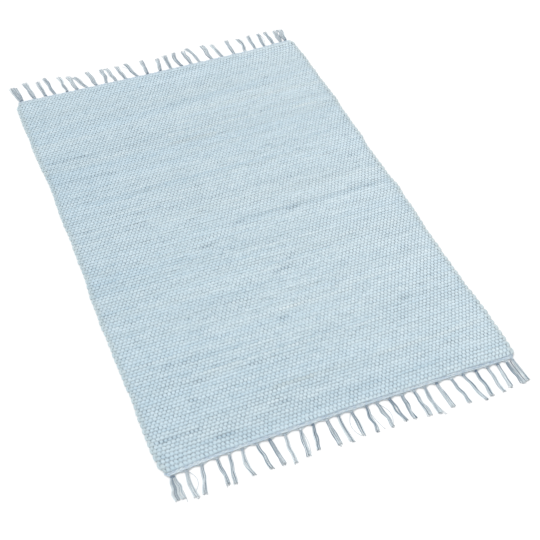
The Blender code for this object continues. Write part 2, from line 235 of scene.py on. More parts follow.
# Knots, tassel threads, strayed threads and the fibres of their tips. A share is of a thread's length
KNOT_TURNS = 1.75
KNOT_STEPS = 15
KNOT_SIDES = 7
KNOT_TUBE = 0.95 * MM
KNOT_LENGTH = 2.6 * MM
KNOT_RISE = 1.15 * MM
KNOT_MID = 2.15 * MM
KNOT_HALF = 1.7 * MM
THICK_KNOT_HALF = 3.2 * MM
THICK_FROM = 12  # threads, from which a tassel counts as thick
THREAD_HALF = 0.6 * MM
THREAD_STEPS = 14
THREAD_SIDES = 5
THREAD_UNEVEN = 1.6 * MM  # how much the cut ends differ in length
LANE_UNEVEN = 0.06  # of half the tassel's width
LEVELS_APART = 1.0 * MM  # how much higher every second thread lies
LEVELS_APART_IN_KNOT = 1.2 * MM
THREAD_WANDER = 0.6 * MM  # how far a thread leaves its lane at the tip
THREAD_WAVE = 0.2 * MM
DROP_SHARE = 0.22  # over which a thread comes down to the floor
WAIST_SHARE = 0.13
PARTING_SHARE = 0.16
PARTING_LANE = 0.15  # of half the width: where a parted tassel opens
PALER_TO_TIP = 0.15  # how much paler a thread is at its tip than at its knot
PALER_END = 0.1  # what its last sixth adds to that
SWING_STEP = 1.9  # radians, from one thread to the next
STRAY_HALF = 0.62 * THREAD_HALF
STRAY_REST = 0.7 * THREAD_HALF
STRAY_DROP_SHARE = 0.2
STRAY_LIGHT = 0.55
STRAY_PALER_TO_TIP = 0.2
FIBRES = 4  # that each cut end frays into
FIBRE_HALF = 0.2 * MM
FIBRE_STEPS = 4
FIBRE_SIDES = 3
FIBRE_LENGTHS = (1.2 * MM, 2.6 * MM)  # the shortest and the longest
FIBRE_ROOT = 0.8 * MM  # how far before the cut end a fibre begins
FIBRE_SPREAD = 0.2 * MM
FIBRE_BEND = np.array([0.5, 0.2, 0.2]) * MM
FIBRE_PALER = 0.15  # than its thread's tip

# What differs from tassel to tassel, and its limits: where its waist is and how deep, where its kinks
# begin, how far they reach in millimetres and how many there are, where it parts in two and how wide
TASSEL_LIMITS = {
    "waist": (0.5, 0.8),
    "depth": (0, 0.4),
    "turned": (0, 1),
    "kink": (-1.2, 1.2),
    "kinks": (0.9, 1.8),
    "parting": (0.25, 0.75),
    "gap": (-0.6, 1.1),
}

# How the tassels of the two ends differ: how much of its width a tassel opens to, how far it parts in two
# at most, and its threads' light: the mean, how much it varies and how much it swings between threads
TasselLook = namedtuple("TasselLook", "opens parts light varies swings")
TASSEL_LOOKS = {
    -1: TasselLook(0.88, 1.0 * MM, 0.71, 0.30, 0.45),
    1: TasselLook(1.1, 0.4 * MM, 0.63, 0.22, 0.29),
}

# Places where the cloth's colour or the painted shade in its slots differ: distance from the far end, the
# stretch from the left edge, how far the mark spreads along the length, all in millimetres, and then how
# much paler, how much warmer and how much more open the weave is there. An open weave gets thinner picks
# and more painted shade in its slots
Mark = namedtuple("Mark", "down left right spread light warm open", defaults=(0, 0, 0))
MARKS = [
    Mark(676, 275, 330, 3, 0.8, 0.2),
    Mark(676, 150, 420, 4, 0.4, 0.12),
    Mark(755, 112, 192, 4, 0.5, 0.30),
    Mark(752, 195, 445, 3, 0.35, 0.10),
    Mark(817, 375, 595, 5, 0.35, 0.22),
    Mark(816, 203, 290, 3, -0.9, 0.9),
    Mark(816, 280, 350, 4, -0.2, 0.35),
    Mark(205, 500, 565, 3, 0.8, 0.35),
    Mark(198, 240, 495, 3, 0.2, 0.12),
    Mark(288, 105, 305, 6, 0.45, 0.0),
    Mark(224, 238, 342, 5, -0.35, 0.45, 0.2),
    Mark(328, 128, 198, 3, -0.4, 0.50, 0.2),
    Mark(460, 285, 610, 6, -0.5, 0.0, 0.15),
    Mark(865, 275, 485, 5, -0.5, 0.0, 0.1),
    Mark(721, 72, 192, 3, -0.2, 0.0, 0.25),
    Mark(199, 5, 252, 3, -0.15, 0.0, 0.3),
    Mark(258, 0, 112, 3, -0.2, 0.0, 0.3),
    Mark(306, 15, 75, 3, -0.2, 0.0, 0.35),
    Mark(385, 175, 565, 3, -0.2, 0.0, 0.35),
    Mark(848, 10, 90, 3, -0.2, 0.0, 0.5),
    Mark(848, 185, 240, 3, -0.2, 0.0, 0.45),
    Mark(870, 85, 140, 3, -0.1, 0.0, 0.5),
]

# Single places where the weave is open, which gives their slots painted shade: from the left edge, from the
# far end, and how strong
Speck = namedtuple("Speck", "across down strength")
SPECKS = [
    Speck(290, 464, 1.0),
    Speck(386, 467, 1.0),
    Speck(400, 463, 0.8),
    Speck(215, 500, 1.0),
    Speck(228, 497, 0.8),
    Speck(289, 555, 0.8),
    Speck(326, 594, 1.0),
    Speck(340, 590, 1.0),
    Speck(312, 598, 0.7),
    Speck(281, 697, 0.9),
    Speck(341, 575, 0.7),
    Speck(326, 530, 0.8),
    Speck(202, 618, 0.7),
    Speck(40, 503, 0.7),
    Speck(545, 625, 0.7),
    Speck(530, 710, 0.7),
    Speck(72, 720, 0.8),
    Speck(45, 708, 0.7),
    Speck(105, 766, 0.8),
    Speck(200, 763, 0.7),
    Speck(465, 762, 0.8),
    Speck(88, 793, 0.7),
    Speck(110, 803, 0.7),
    Speck(455, 846, 0.7),
    Speck(475, 875, 0.8),
    Speck(135, 642, 0.7),
    Speck(280, 692, 0.7),
    Speck(485, 728, 0.9),
    Speck(315, 30, 1.0),
    Speck(190, 90, 0.7),
    Speck(235, 101, 0.7),
    Speck(285, 112, 0.7),
    Speck(365, 72, 0.7),
    Speck(420, 80, 0.6),
    Speck(495, 97, 0.7),
    Speck(350, 137, 0.7),
    Speck(190, 150, 1.0),
    Speck(35, 136, 0.7),
    Speck(445, 194, 0.7),
    Speck(345, 228, 0.7),
    Speck(110, 262, 0.8),
    Speck(385, 301, 0.7),
    Speck(465, 322, 0.7),
    Speck(570, 316, 0.7),
    Speck(255, 350, 0.7),
    Speck(133, 380, 0.7),
    Speck(555, 376, 0.6),
    Speck(35, 393, 0.7),
    Speck(215, 430, 0.7),
]
SPECK_ACROSS = 9 * MM
SPECK_ALONG = 3 * MM
SPECK_STRENGTH = 0.75
MARK_SOFT = 14  # millimetres over which a mark's ends fade

# The unevenness of a weft's picks: what varies, by how much, the noise's seed, and over how many picks
# and stations it changes. A station is a place on a warp thread or between two of them
Uneven = namedtuple("Uneven", "what spread seed picks stations")
RAG_UNEVEN = [
    Uneven("along", 0.3 * MM, 31, 8, 60),
    Uneven("along", 0.09 * MM, 32, 0.1, 3),
    Uneven("sway", 0.3 * MM, 33, 14, 9),
    Uneven("sway", 0.16 * MM, 34, 0.1, 1.2),
    Uneven("swell", 0.02, 36, 0.1, 40),
    Uneven("swell", 0.05, 37, 0.1, 2.0),
    Uneven("lift", 0.04 * MM, 38, 0.1, 2.5),
    Uneven("lift", 0.1 * MM, 39, 3, 30),
    Uneven("light", 0.025, 40, 0.1, 30),
    Uneven("light", 0.04, 41, 0.1, 1.5),
    Uneven("light", 0.02, 42, 2, 60),
    Uneven("warm", 0.03, 43, 0.6, 60),
    # How much painted shade the slots get varies too
    Uneven("open", 0.12, 44, 0.3, 8),
    Uneven("open", 0.13, 45, 0.1, 1.0),
]
HEADING_UNEVEN = [
    Uneven("along", 0.1 * MM, 0, 0.1, 4),
    Uneven("swell", 0.06, 1, 0.1, 3),
    Uneven("lift", 0.1 * MM, 2, 0.1, 5),
    Uneven("light", 0.08, 3, 0.3, 12),
    Uneven("light", 0.3, 4, 0.1, 1),
]


def column(rows, name):
    """One named column of a table, in metres."""
    return np.array([getattr(row, name) for row in rows]) * MM


def from_left(rows, name):
    """A column of distances from the left edge, as x in an array of one column."""
    return column(rows, name)[:, None] - CLOTH_WIDTH / 2


def bell(distance, reach):
    """A bell curve: e to the power of minus the square of the distance over the reach."""
    return np.exp(-((distance / reach) ** 2))


def cloth_points(x, along):
    """x and y of places on the straight cloth, after its wavy edges and its drawn-out ends.

    x is scaled between the two long edges. Along is moved by that end's pull, which fades with the
    square of the distance into the field.
    """
    keys = column(LONG_EDGES, "along")
    left = -CLOTH_WIDTH / 2 - np.interp(along, keys, column(LONG_EDGES, "left"))
    right = CLOTH_WIDTH / 2 + np.interp(along, keys, column(LONG_EDGES, "right"))
    share = x / CLOTH_WIDTH + 0.5
    stations = [row.across for row in END_PULLS]
    near = np.interp(2 * share - 1, stations, column(END_PULLS, "near"))
    far = np.interp(2 * share - 1, stations, column(END_PULLS, "far"))
    felt = 1 - np.clip((FIELD_LENGTH / 2 - np.abs(along)) / PULL_REACH, 0, 1)
    return left + (right - left) * share, along + felt**2 * np.where(along < 0, -near, far)


def end_line(x, end):
    """y of the cloth's end at each x: the inverse of the edges' scaling, then the pull of that end."""
    along = np.full_like(x, end * CLOTH_LENGTH / 2)
    left = cloth_points(np.full_like(x, -CLOTH_WIDTH / 2), along)[0]
    right = cloth_points(np.full_like(x, CLOTH_WIDTH / 2), along)[0]
    return cloth_points(((x - left) / (right - left) - 0.5) * CLOTH_WIDTH, along)[1]


def drift(seed, shape, reach):
    """Noise of unit spread that changes over about reach steps of each axis.

    White noise goes through a Gaussian filter, worked out on its Fourier transform.
    """
    spectrum = np.fft.fftn(np.random.default_rng(seed).standard_normal(shape))
    for axis, steps in enumerate(reach):
        kept = np.exp(-2 * (math.pi * np.fft.fftfreq(shape[axis]) * steps) ** 2)
        spectrum *= kept.reshape([-1 if a == axis else 1 for a in range(len(shape))])
    field = np.fft.ifftn(spectrum).real
    return (field - field.mean()) / field.std()


def uneven(rows, what, grid, seed=0):
    """How one thing varies over a weft's grid of picks and stations: the sum of its rows' noises."""
    rows = [row for row in rows if row.what == what]
    return sum(row.spread * drift(seed + row.seed, grid, (row.picks, row.stations)) for row in rows)


def tube_piece(name, rings, material, **attributes):
    """Tubes as one mesh, from rings of points in an array of (tubes, rings, sides, 3).

    Neighbours along and around make quads, and one face closes each end. The map holds the turn
    round the tube and the length along it in metres. An attribute is an array of (tubes, rings), or
    has one more axis for the sides.
    """
    tubes, steps, sides, _ = rings.shape
    index = np.arange(tubes * steps * sides).reshape(tubes, steps, sides)
    beside = np.roll(index, -1, axis=2)
    quads = np.stack([index[:, :-1], index[:, 1:], beside[:, 1:], beside[:, :-1]], axis=-1)
    points = rings.reshape(-1, 3)
    a, b, c, d = (points[quads[0, ..., i]] - points[0] for i in range(4))
    outward = (np.cross(a, b) * c).sum() + (np.cross(a, c) * d).sum()
    way = 1 if outward > 0 else -1

    middle = rings.mean(2)
    steps_long = np.linalg.norm(np.diff(middle, axis=1), axis=2)
    travelled = np.concatenate([np.zeros((tubes, 1)), steps_long.cumsum(1)], axis=1)
    turn = np.broadcast_to(np.arange(sides) / sides, quads.shape[:3])
    start = np.broadcast_to(travelled[:, :-1, None], quads.shape[:3])
    end = np.broadcast_to(travelled[:, 1:, None], quads.shape[:3])
    wall_map = np.stack([turn, start, turn, end, turn + 1 / sides, end, turn + 1 / sides, start], -1)
    wall_map = wall_map.reshape(-1, 4, 2)[:, ::way]
    cap_map = np.zeros((2 * tubes * sides, 2))

    faces = [quads.reshape(-1, 4), index[:, 0], index[:, -1, ::-1]]
    corners = np.concatenate([face[:, ::way].ravel() for face in faces])
    sizes = np.concatenate([np.full(len(face), face.shape[1]) for face in faces])
    mesh = bpy.data.meshes.new(name)
    mesh.vertices.add(len(points))
    mesh.vertices.foreach_set("co", points.ravel())
    mesh.loops.add(len(corners))
    mesh.loops.foreach_set("vertex_index", corners)
    mesh.polygons.add(len(sizes))
    mesh.polygons.foreach_set("loop_start", np.cumsum(sizes) - sizes)
    mesh.update(calc_edges=True)
    layer = mesh.uv_layers.new(name="along")
    layer.data.foreach_set("uv", np.concatenate([wall_map.ravel(), cap_map.ravel()]))
    for attribute, values in attributes.items():
        if values.ndim == 2:
            values = np.repeat(values[..., None], sides, axis=2)
        store = mesh.attributes.new(attribute, "FLOAT", "POINT")
        store.data.foreach_set("value", values.ravel())
    mesh.shade_smooth()
    mesh.materials.append(material)
    piece = bpy.data.objects.new(name, mesh)
    bpy.context.scene.collection.objects.link(piece)
    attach(piece, "root")
    return piece


def carried(paths, beside, half_wide, half_high, sides):
    """Rings of an ellipse carried along paths, in an array of (paths, steps, sides, 3).

    The ellipse stands at right angles to the path, with its width along beside and its first point
    on top. The half sizes are one number each, or an array of (paths, steps).
    """
    ahead = np.gradient(paths, axis=1)
    up = np.cross(np.broadcast_to(beside, paths.shape), ahead)
    up /= np.linalg.norm(up, axis=2, keepdims=True)
    across = np.cross(ahead, up)
    across /= np.linalg.norm(across, axis=2, keepdims=True)
    angle = 2 * math.pi * np.arange(sides) / sides + math.pi / 2
    wide = np.broadcast_to(half_wide, paths.shape[:2])[..., None, None] * np.cos(angle)[:, None]
    high = np.broadcast_to(half_high, paths.shape[:2])[..., None, None] * np.sin(angle)[:, None]
    return paths[:, :, None] + wide * across[:, :, None] + high * up[:, :, None]


def weft_rings(weft, along, first, sway, swell, lift):
    """One weft's strip as rings of points, in an array of (rings, sides, 3), in the strip's order.

    A pick has a ring at each warp thread and one between each two. The section goes from the one
    over a warp to the one under it, and between the two it leans towards the thread that crosses it
    on that face. Every second pick runs back, and between picks four rings follow half an ellipse
    round the outermost warp. Along holds y of each ring of a pick; sway, swell and lift are what is
    added to x, what the section is scaled by, and what is added to z there.
    """
    sections = (weft.over, weft.under, weft.between, weft.turn)
    over, under, between, turn = (np.array(section) * MM for section in sections)
    picks, stations = along.shape
    pick = np.arange(picks)[:, None]
    station = np.arange(stations)[None]
    is_over = ((pick + first + station // 2) % 2 == 0)[..., None, None]
    on_warp = (station % 2 == 0)[..., None, None]
    section = np.where(on_warp, np.where(is_over, over, under), between)
    leaning = np.where(on_warp, 0, np.where(is_over, 1, -1))[..., 0] * weft.lean * np.sign(between[:, 1])
    onward = np.where(pick % 2 == 0, 1, -1)[..., None]
    x = (station * WARP_PITCH / 2 - OUTER_WARP + sway)[..., None] + leaning
    y = along[..., None] + onward * section[..., 0] * swell[..., None]
    z = weft.mid + section[..., 1] * swell[..., None] + lift[..., None]
    runs = np.stack([x, y, z], axis=-1)
    runs[1::2] = runs[1::2, ::-1]

    side = np.where(np.arange(picks) % 2 == 0, 1, -1)[:, None, None]
    cos, sin = np.cos(TURN_ANGLES)[None, :, None], np.sin(TURN_ANGLES)[None, :, None]
    halfway = (along.mean(1) + weft.pitch / 2)[:, None, None]
    ends = np.where(side > 0, sway[:, -1:, None], sway[:, :1, None])
    x = side * (OUTER_WARP + weft.reach * cos) + ends - cos * turn[:, 0]
    y = halfway + weft.pitch / 2 * sin - side * sin * turn[:, 0]
    turns = np.stack([x, y, weft.mid + turn[:, 1] + 0 * x], axis=-1)
    rings = np.concatenate([runs, turns], axis=1).reshape(-1, len(over), 3)[: -len(TURN_ANGLES)]
    rings[..., 0], rings[..., 1] = cloth_points(rings[..., 0], rings[..., 1])
    rings[..., 2] = np.maximum(rings[..., 2], SOLE)
    return rings


def in_strip_order(values):
    """Values by pick and station, put in the strip's own order, with the turns' rings added."""
    values = values.copy()
    values[1::2] = values[1::2, ::-1]
    turns = np.repeat(values[:, -1:], len(TURN_ANGLES), axis=1)
    return np.concatenate([values, turns], axis=1).reshape(-1, *values.shape[2:])[: -len(TURN_ANGLES)]


def marked(x, along, name):
    """The marks' sum: each is level along its stretch, with soft ends, and a bell across it."""
    total = np.zeros(np.broadcast_shapes(x.shape, along.shape))
    across, down = (x + CLOTH_WIDTH / 2) / MM, (CLOTH_LENGTH / 2 - along) / MM
    for mark in MARKS:
        begun = np.clip((across - mark.left) / MARK_SOFT, 0, 1)
        unended = np.clip((mark.right - across) / MARK_SOFT, 0, 1)
        total += getattr(mark, name) * begun * unended * bell(down - mark.down, mark.spread)
    return total


def specked(x, along):
    """The specks' sum, each a small bell."""
    total = np.zeros(np.broadcast_shapes(x.shape, along.shape))
    for speck in SPECKS:
        away_x = x + CLOTH_WIDTH / 2 - speck.across * MM
        away_y = along - CLOTH_LENGTH / 2 + speck.down * MM
        total += speck.strength * bell(away_x, SPECK_ACROSS) * bell(away_y, SPECK_ALONG)
    return SPECK_STRENGTH * total


class Socket:
    """A node's output. Sums, differences and products of values add Math nodes."""

    def __init__(self, finish, output):
        self.finish = finish
        self.output = output

    def maths(self, operation, first, second):
        return self.finish.node("ShaderNodeMath", {"operation": operation}, {0: first, 1: second})

    def __add__(self, other):
        return self.maths("ADD", self, other)

    def __radd__(self, other):
        return self.maths("ADD", other, self)

    def __sub__(self, other):
        return self.maths("SUBTRACT", self, other)

    def __rsub__(self, other):
        return self.maths("SUBTRACT", other, self)

    def __mul__(self, other):
        return self.maths("MULTIPLY", self, other)

    def __rmul__(self, other):
        return self.maths("MULTIPLY", other, self)


class Finish:
    """A cotton material, built from nodes."""

    def __init__(self, name, roughness):
        self.material = bpy.data.materials.new(name)
        self.material.use_nodes = True
        self.tree = self.material.node_tree
        self.shader = self.tree.nodes["Principled BSDF"]
        self.shader.inputs["Roughness"].default_value = roughness
        self.shader.inputs["Specular IOR Level"].default_value = 0.25
        self.shader.inputs["Sheen Weight"].default_value = 0.25
        self.shader.inputs["Sheen Roughness"].default_value = 0.6

    def feed(self, socket, value):
        """Links a socket to another's output, or gives it a value."""
        if isinstance(value, Socket):
            self.tree.links.new(value.output, socket)
        else:
            socket.default_value = value

    def node(self, kind, settings=None, inputs=None, output=0):
        """Adds a node: its settings first, then the values or links of its sockets."""
        made = self.tree.nodes.new(kind)
        for name, value in (settings or {}).items():
            setattr(made, name, value)
        for key, value in (inputs or {}).items():
            self.feed(made.inputs[key], value)
        return Socket(self, made.outputs[output])

    def attribute(self, name):
        return self.node("ShaderNodeAttribute", {"attribute_name": name}, output="Fac")

    def noise(self, cells, detail):
        """Noise about 0.5 on Object coordinates, with this many cells to the metre on each axis."""
        spot = self.node("ShaderNodeTexCoord", output="Object")
        spot = self.node("ShaderNodeVectorMath", {"operation": "MULTIPLY"}, {0: spot, 1: cells})
        inputs = {"Vector": spot, "Scale": 1.0, "Detail": detail, "Roughness": 0.6}
        return self.node("ShaderNodeTexNoise", {"noise_dimensions": "3D"}, inputs)

    def ply(self, plies, twist):
        """Waves round a twisted thread: a sine of the turn times plies plus the length over the twist."""
        along = self.node("ShaderNodeUVMap", {"uv_map": "along"})
        turn = self.node("ShaderNodeSeparateXYZ", inputs={0: along}, output="X")
        length = self.node("ShaderNodeSeparateXYZ", inputs={0: along}, output="Y")
        angle = (turn * plies + length * (1 / twist)) * (2 * math.pi)
        return self.node("ShaderNodeMath", {"operation": "SINE"}, {0: angle}) * 0.5 + 0.5

    def mix(self, factor, first, second):
        settings = {"data_type": "RGBA", "clamp_factor": True}
        return self.node("ShaderNodeMix", settings, {0: factor, 6: first, 7: second}, output=2)

    def paint(self, colour, height, distance):
        """Gives the shader its colour, and a bump of this height field over this distance."""
        bump = self.node("ShaderNodeBump", inputs={"Strength": 1.0, "Distance": distance, "Height": height})
        self.feed(self.shader.inputs["Base Color"], colour)
        self.feed(self.shader.inputs["Normal"], bump)
        return self.material


def tone(red, green, blue):
    """A colour as it looks on screen, from 0 to 255, as the linear light that a shader takes."""
    shares = np.array([red, green, blue]) / 255
    light = np.where(shares > 0.04045, ((shares + 0.055) / 1.055) ** 2.4, shares / 12.92)
    return (*light.tolist(), 1.0)


RAG_DEEP = tone(166, 195, 212)
RAG_PALE = tone(233, 247, 253)
RAG_WARM = tone(208, 210, 198)
# Colour mixed in as painted shade in the rag's slots, on the warp, the heading, the knots and the tassel
# threads' roots, and as the strayed dark threads' own darkness
PAINTED_SHADE_AND_THREAD_DARK = tone(15, 68, 105)
STREAK_CELLS = (110, 850, 850)  # fewest along x, where the strip runs
LINT_CELLS = (2600, 2600, 2600)
THREAD_PLIES = 3


def rag_cotton():
    """Soft cotton rag: a blue that varies from strip to strip, with streaks along the strip and lint, and
    painted shade in its slots.
    """
    cotton = Finish("rag_cotton", roughness=0.9)
    streaks = cotton.noise(STREAK_CELLS, detail=3.0)
    lint = cotton.noise(LINT_CELLS, detail=2.0)
    light = cotton.attribute("light") + (streaks - 0.5) * 0.35 + (lint - 0.5) * 0.25
    colour = cotton.mix(light, RAG_DEEP, RAG_PALE)
    colour = cotton.mix(cotton.attribute("warm"), colour, RAG_WARM)
    # Painted shade: the slots and hollows darkened towards the shade colour
    colour = cotton.mix(cotton.attribute("slot"), colour, PAINTED_SHADE_AND_THREAD_DARK)
    return cotton.paint(colour, streaks * 0.7 + lint * 0.3, distance=0.5 * MM)


def thread_cotton(name, deep, pale, twist):
    """Plied cotton thread: twisted plies with a line of painted shade between them, darkened further by its
    slot attribute.
    """
    cotton = Finish(name, roughness=0.85)
    plies = cotton.ply(THREAD_PLIES, twist)
    lint = cotton.noise(LINT_CELLS, detail=2.0)
    # The ply wave darkens the colour in the line between plies: painted shade in the groove that the bump
    # makes
    light = cotton.attribute("light") + (plies - 0.5) * 0.35 + (lint - 0.5) * 0.5
    colour = cotton.mix(light, deep, pale)
    colour = cotton.mix(cotton.attribute("slot"), colour, PAINTED_SHADE_AND_THREAD_DARK)
    return cotton.paint(colour, plies * 0.7 + lint * 0.3, distance=0.35 * MM)


# How the rag differs near its ends and edges, at joins, where picks part and where the weave is thin
END_PUSH = 1.1 * MM  # how far the last picks spread over the heading
END_REACH = 14 * MM
END_SWELL = 0.1
JOIN_SWELL = 0.14
THIN_SWELL = -0.14
PARTING = 0.14 * MM
SELVEDGE_REACH = 5 * MM
EDGE_SWAY = 0.5 * MM
EDGE_SHADE = 10 * MM
EDGE_SLOTS = 1.3 * MM  # reach of the line of slots with more painted shade that lies one warp thread in from each edge
NO_SLOTS = 1.5 * MM  # how near the outermost thread the painted slot shade fades away
LEAST_PAINTED_SHADE = 0.02
PAINTED_SHADE_BETWEEN = 0.03  # how much painted shade a slot gets between two warp threads
PAINTED_SHADE_WHERE_THIN = 0.4  # and what the thin weave adds to it

# Where each pick's rings lie
STATIONS = 2 * WARPS - 1
GRID = (PICKS, STATIONS)
straight_x = (np.arange(STATIONS) * WARP_PITCH / 2 - OUTER_WARP)[None]
pick_y = ((np.arange(PICKS) + 0.5) * PICK_PITCH - FIELD_LENGTH / 2)[:, None]
at_left, at_right = straight_x < 0, straight_x >= 0
from_edge = OUTER_WARP - np.abs(straight_x)
at_end = bell(FIELD_LENGTH / 2 - np.abs(pick_y), END_REACH)
selvedge = bell(from_edge, SELVEDGE_REACH)
rag_y = pick_y + END_PUSH * np.sign(pick_y) * at_end + uneven(RAG_UNEVEN, "along", GRID)
edge_sway = EDGE_SWAY * drift(46, (PICKS, 2), (1.3, 0.1))
sway = uneven(RAG_UNEVEN, "sway", GRID)
sway += selvedge * np.where(at_left, edge_sway[:, :1], edge_sway[:, 1:])

rng = np.random.default_rng(35)


def stretches(count, least, most):
    """Random stretches of single picks: up to 1 over each, with soft ends, and 0 everywhere else."""
    pick, station = rng.integers(2, PICKS - 3, count), rng.integers(0, STATIONS, count)
    away = (np.arange(STATIONS)[None] - station[:, None]) / rng.uniform(least, most, (count, 1))
    field = np.zeros(GRID)
    np.add.at(field, pick, rng.uniform(0.4, 1, (count, 1)) * np.exp(-(away**4)))
    return np.clip(field, 0, 1)


# Joins of the rag strip are soft swellings over a few warps. Where two picks have parted a little, the line
# between them gets painted shade
joined = stretches(count=60, least=2.5, most=6.5)
parted = stretches(count=170, least=2, most=22)
parted_before = np.roll(parted, 1, axis=0)
rag_y += PARTING * (parted_before - parted)
thin = np.clip(marked(straight_x, pick_y, "open") + specked(straight_x, pick_y), 0, 1) * (1 - selvedge)
swell = 1 + uneven(RAG_UNEVEN, "swell", GRID) + JOIN_SWELL * joined + THIN_SWELL * thin + END_SWELL * at_end
lift = uneven(RAG_UNEVEN, "lift", GRID)

# The strip's tone changes where one rag ends and the next begins
RAGS = 110
rag_ends = np.sort(rng.uniform(0, PICKS * STATIONS, RAGS))
rag_tones = rng.normal(0, 1, RAGS + 1)
rag_number = np.searchsorted(rag_ends, np.arange(PICKS * STATIONS)).reshape(GRID)
rag_number[1::2] = rag_number[1::2, ::-1]

# Crossing is where the strip lies over the warp thread, and a pit where it dips under one
crossing = (np.arange(PICKS)[:, None] + np.arange(STATIONS)[None] // 2) % 2 == 0
on_warp = np.arange(STATIONS)[None] % 2 == 0
pit = on_warp & ~crossing
to_right = straight_x / (CLOTH_WIDTH / 2)
to_far = pick_y / (FIELD_LENGTH / 2)
far_left = np.maximum(-to_right, 0) * np.maximum(to_far, 0)
near_right = np.maximum(to_right, 0) * np.maximum(-to_far, 0)
edge_shade = bell(from_edge, EDGE_SHADE)
edge_slots = bell(from_edge - WARP_PITCH, EDGE_SLOTS)

# What changes the rag's light, its warmth and the painted shade in its slots (open): by how much each, and
# where
Effect = namedtuple("Effect", "light warm open where")
EFFECTS = [
    Effect(0.45, 0.06, 0.34, 1),
    Effect(0.025, 0, 0, rag_tones[rag_number]),
    Effect(0.1, 0, 0, stretches(count=50, least=3, most=14)),
    Effect(0.25, 0, 0, marked(straight_x, pick_y, "light")),
    Effect(0, 0.35, 0, marked(straight_x, pick_y, "warm")),
    # Thin weave: a little darker, and more painted shade in its slots
    Effect(-0.08, 0, 1.1, thin),
    Effect(0, 0, -0.2, joined),
    # Painted shade in the line where two picks part
    Effect(0, 0, 0.25, np.maximum(parted, parted_before)),
    # Painted light: the pits made paler, to offset the shade that falls in them
    Effect(0.1, 0, 0, pit),
    Effect(0.11, 0, 0.12, to_right),
    Effect(0, 0, -0.07, to_far),
    Effect(0, 0, -0.2, far_left),
    Effect(-0.05, 0, -0.1, near_right),
    Effect(0, 0.25, -0.08, selvedge),
    Effect(-0.2, 0, 0, at_left * selvedge**2),
    Effect(-0.02, 0, 0, at_right * selvedge**2),
    Effect(-0.05, 0, 0, at_left * edge_shade),
    Effect(-0.13, 0, 0, at_right * edge_shade),
    # More painted shade in the slots one warp thread in from each edge
    Effect(0, 0, 0.1, at_left * edge_slots),
    Effect(0, 0, 0.4, at_right * edge_slots),
]


def look(name):
    """One look of the rag, over its grid: its unevenness and every effect's part in it."""
    return uneven(RAG_UNEVEN, name, GRID) + sum(getattr(row, name) * row.where for row in EFFECTS)


light = look("light")
warm = np.clip(look("warm"), 0, 1)
# How much painted shade the slots get: the effects' open column, faded out near the outermost thread
painted_slot_shade = np.clip(look("open"), LEAST_PAINTED_SHADE, 1) * (1 - bell(from_edge, NO_SLOTS))

# Painted shade on each ring's upper and its lower face, darkest in the hollow where that face dips under a
# warp thread
shown = PAINTED_SHADE_BETWEEN + PAINTED_SHADE_WHERE_THIN * thin
top = np.where(on_warp, np.where(crossing, 0, 1), shown) * painted_slot_shade
bottom = np.where(on_warp, np.where(crossing, 1, 0), shown) * painted_slot_shade
slot = np.stack([top, top, top, bottom, bottom, bottom], axis=-1)

rag_finish = rag_cotton()
rag_rings = weft_rings(RAG, rag_y, 0, sway, swell, lift)
rag_looks = {"light": in_strip_order(light), "warm": in_strip_order(warm), "slot": in_strip_order(slot)}
RINGS_A_PICK = STATIONS + len(TURN_ANGLES)
bands = []
for band in BANDS:
    part = slice(band.first * RINGS_A_PICK, band.last * RINGS_A_PICK + 1)
    looks = {name: values[part][None] for name, values in rag_looks.items()}
    piece = tube_piece(band.name, rag_rings[part][None], rag_finish, **looks)
    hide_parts("woven_field")
    bands.append(piece)

# The headings
HEADING_GRID = (YARN_PICKS, STATIONS)
HEADING_CLIMB = 0.9 * MM  # how much a heading rises over its depth, towards the rag
HEADING_TUCK = 0.5 * MM  # how far it is moved in from its place in the part, against the rag
HEADING_LIGHT = 0.56
HEADING_PAINTED_SHADE = 0.1
heading_inner = FIELD_LENGTH / 2 + GAP - HEADING_TUCK
heading_depth = (np.arange(YARN_PICKS) + 0.5) * YARN.pitch
heading_y = {
    -1: (-heading_inner - heading_depth[::-1])[:, None],
    1: (heading_inner + heading_depth)[:, None],
}
yarn_finish = thread_cotton("heading_cotton", tone(199, 220, 238), tone(235, 248, 254), twist=3 * MM)


def heading(name, end, first, own_sway, seed):
    """A heading's fine picks, woven as the rag is."""
    along = heading_y[end] + uneven(HEADING_UNEVEN, "along", HEADING_GRID, seed)
    swell = 1 + uneven(HEADING_UNEVEN, "swell", HEADING_GRID, seed)
    inward = -end * (along - along.mean()) / HEADING_DEPTH + 0.5
    lift = HEADING_CLIMB * inward + uneven(HEADING_UNEVEN, "lift", HEADING_GRID, seed)
    light = HEADING_LIGHT + uneven(HEADING_UNEVEN, "light", HEADING_GRID, seed)
    rings = weft_rings(YARN, along, first, np.broadcast_to(own_sway, HEADING_GRID), swell, lift)
    # Painted shade, deepest at the inner edge where the rag's last pick shades the heading
    looks = {"light": in_strip_order(light)[None], "slot": in_strip_order(HEADING_PAINTED_SHADE * inward)[None]}
    piece = tube_piece(name, rings[None], yarn_finish, **looks)
    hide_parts(name + "_fringe")
    return piece


